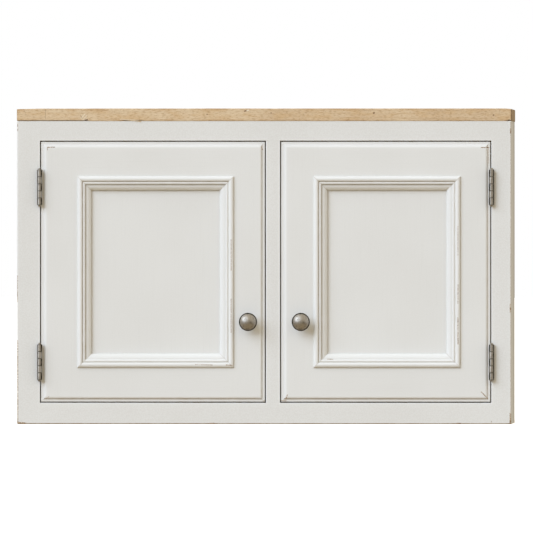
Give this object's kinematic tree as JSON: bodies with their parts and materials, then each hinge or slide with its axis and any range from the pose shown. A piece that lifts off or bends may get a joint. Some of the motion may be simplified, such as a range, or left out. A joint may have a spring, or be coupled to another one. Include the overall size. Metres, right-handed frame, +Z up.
{
  "type": "kitchen wall cabinet",
  "caption": "Painted in-frame kitchen wall cabinet with moulded panel doors on butt hinges, round metal knobs, a bare pine top board and a loose shelf inside.",
  "frame": {"origin": "on the wall plane, midway between the two screws of the upper hanging rail", "axes": "+X to the right seen from the front, +Y into the wall (the front faces -Y), +Z up"},
  "size_m": [0.902, 0.35, 0.575],
  "materials": {
    "painted_wood": "hand-brushed off-white satin paint, worn at the edges",
    "bare_pine": "bare weathered pine",
    "inside_pine": "clear waxed pine",
    "pewter": "brushed antique pewter",
    "screw_steel": "dull steel",
    "magnet": "nickel plated"
  },
  "bodies": {
    "carcass": {"left_side_panel": "painted_wood", "right_side_panel": "painted_wood", "bottom_panel": "inside_pine", "top_panel": "inside_pine", "shelf": "inside_pine", "door_stop_batten": "inside_pine", "upper_hanging_rail": "inside_pine", "lower_hanging_rail": "inside_pine", "back_board_1": "inside_pine", "back_board_2": "inside_pine", "back_board_3": "inside_pine", "back_board_4": "inside_pine", "back_board_5": "inside_pine", "back_board_6": "inside_pine", "shelf_pins": "screw_steel", "top_board": "bare_pine", "catch_magnets": "magnet", "carcass_screws": "screw_steel", "hinge_pins": "pewter", "frame_hinge_screws": "screw_steel", "frame_left_stile": "painted_wood", "frame_right_stile": "painted_wood", "frame_mid_stile": "painted_wood", "frame_top_rail": "painted_wood", "frame_bottom_rail": "painted_wood", "left_upper_hinge_frame_leaf": "pewter", "left_lower_hinge_frame_leaf": "pewter", "right_upper_hinge_frame_leaf": "pewter", "right_lower_hinge_frame_leaf": "pewter"},
    "left_door": {"left_door_hinge_stile": "painted_wood", "left_door_lock_stile": "painted_wood", "left_door_top_rail": "painted_wood", "left_door_bottom_rail": "painted_wood", "left_door_panel": "painted_wood", "left_door_moulding_top": "painted_wood", "left_door_moulding_bottom": "painted_wood", "left_door_moulding_hinge_side": "painted_wood", "left_door_moulding_lock_side": "painted_wood", "left_upper_hinge_door_leaf": "pewter", "left_lower_hinge_door_leaf": "pewter", "left_knob": "pewter", "left_door_hinge_screws": "screw_steel", "left_knob_bolt": "screw_steel", "left_strike_stud": "screw_steel"},
    "right_door": {"right_door_hinge_stile": "painted_wood", "right_door_lock_stile": "painted_wood", "right_door_top_rail": "painted_wood", "right_door_bottom_rail": "painted_wood", "right_door_panel": "painted_wood", "right_door_moulding_top": "painted_wood", "right_door_moulding_bottom": "painted_wood", "right_door_moulding_hinge_side": "painted_wood", "right_door_moulding_lock_side": "painted_wood", "right_upper_hinge_door_leaf": "pewter", "right_lower_hinge_door_leaf": "pewter", "right_knob": "pewter", "right_door_hinge_screws": "screw_steel", "right_knob_bolt": "screw_steel", "right_strike_stud": "screw_steel"}
  },
  "joints": [
    {"name": "left_door_hinge", "type": "hinge", "parent": "carcass", "child": "left_door", "pos_m": [-0.4085, -0.3271, -0.235], "axis": [0, 0, -1], "range_deg": [0, 170]},
    {"name": "right_door_hinge", "type": "hinge", "parent": "carcass", "child": "right_door", "pos_m": [0.4145, -0.3271, -0.235], "axis": [0, 0, 1], "range_deg": [0, 170]}
  ]
}
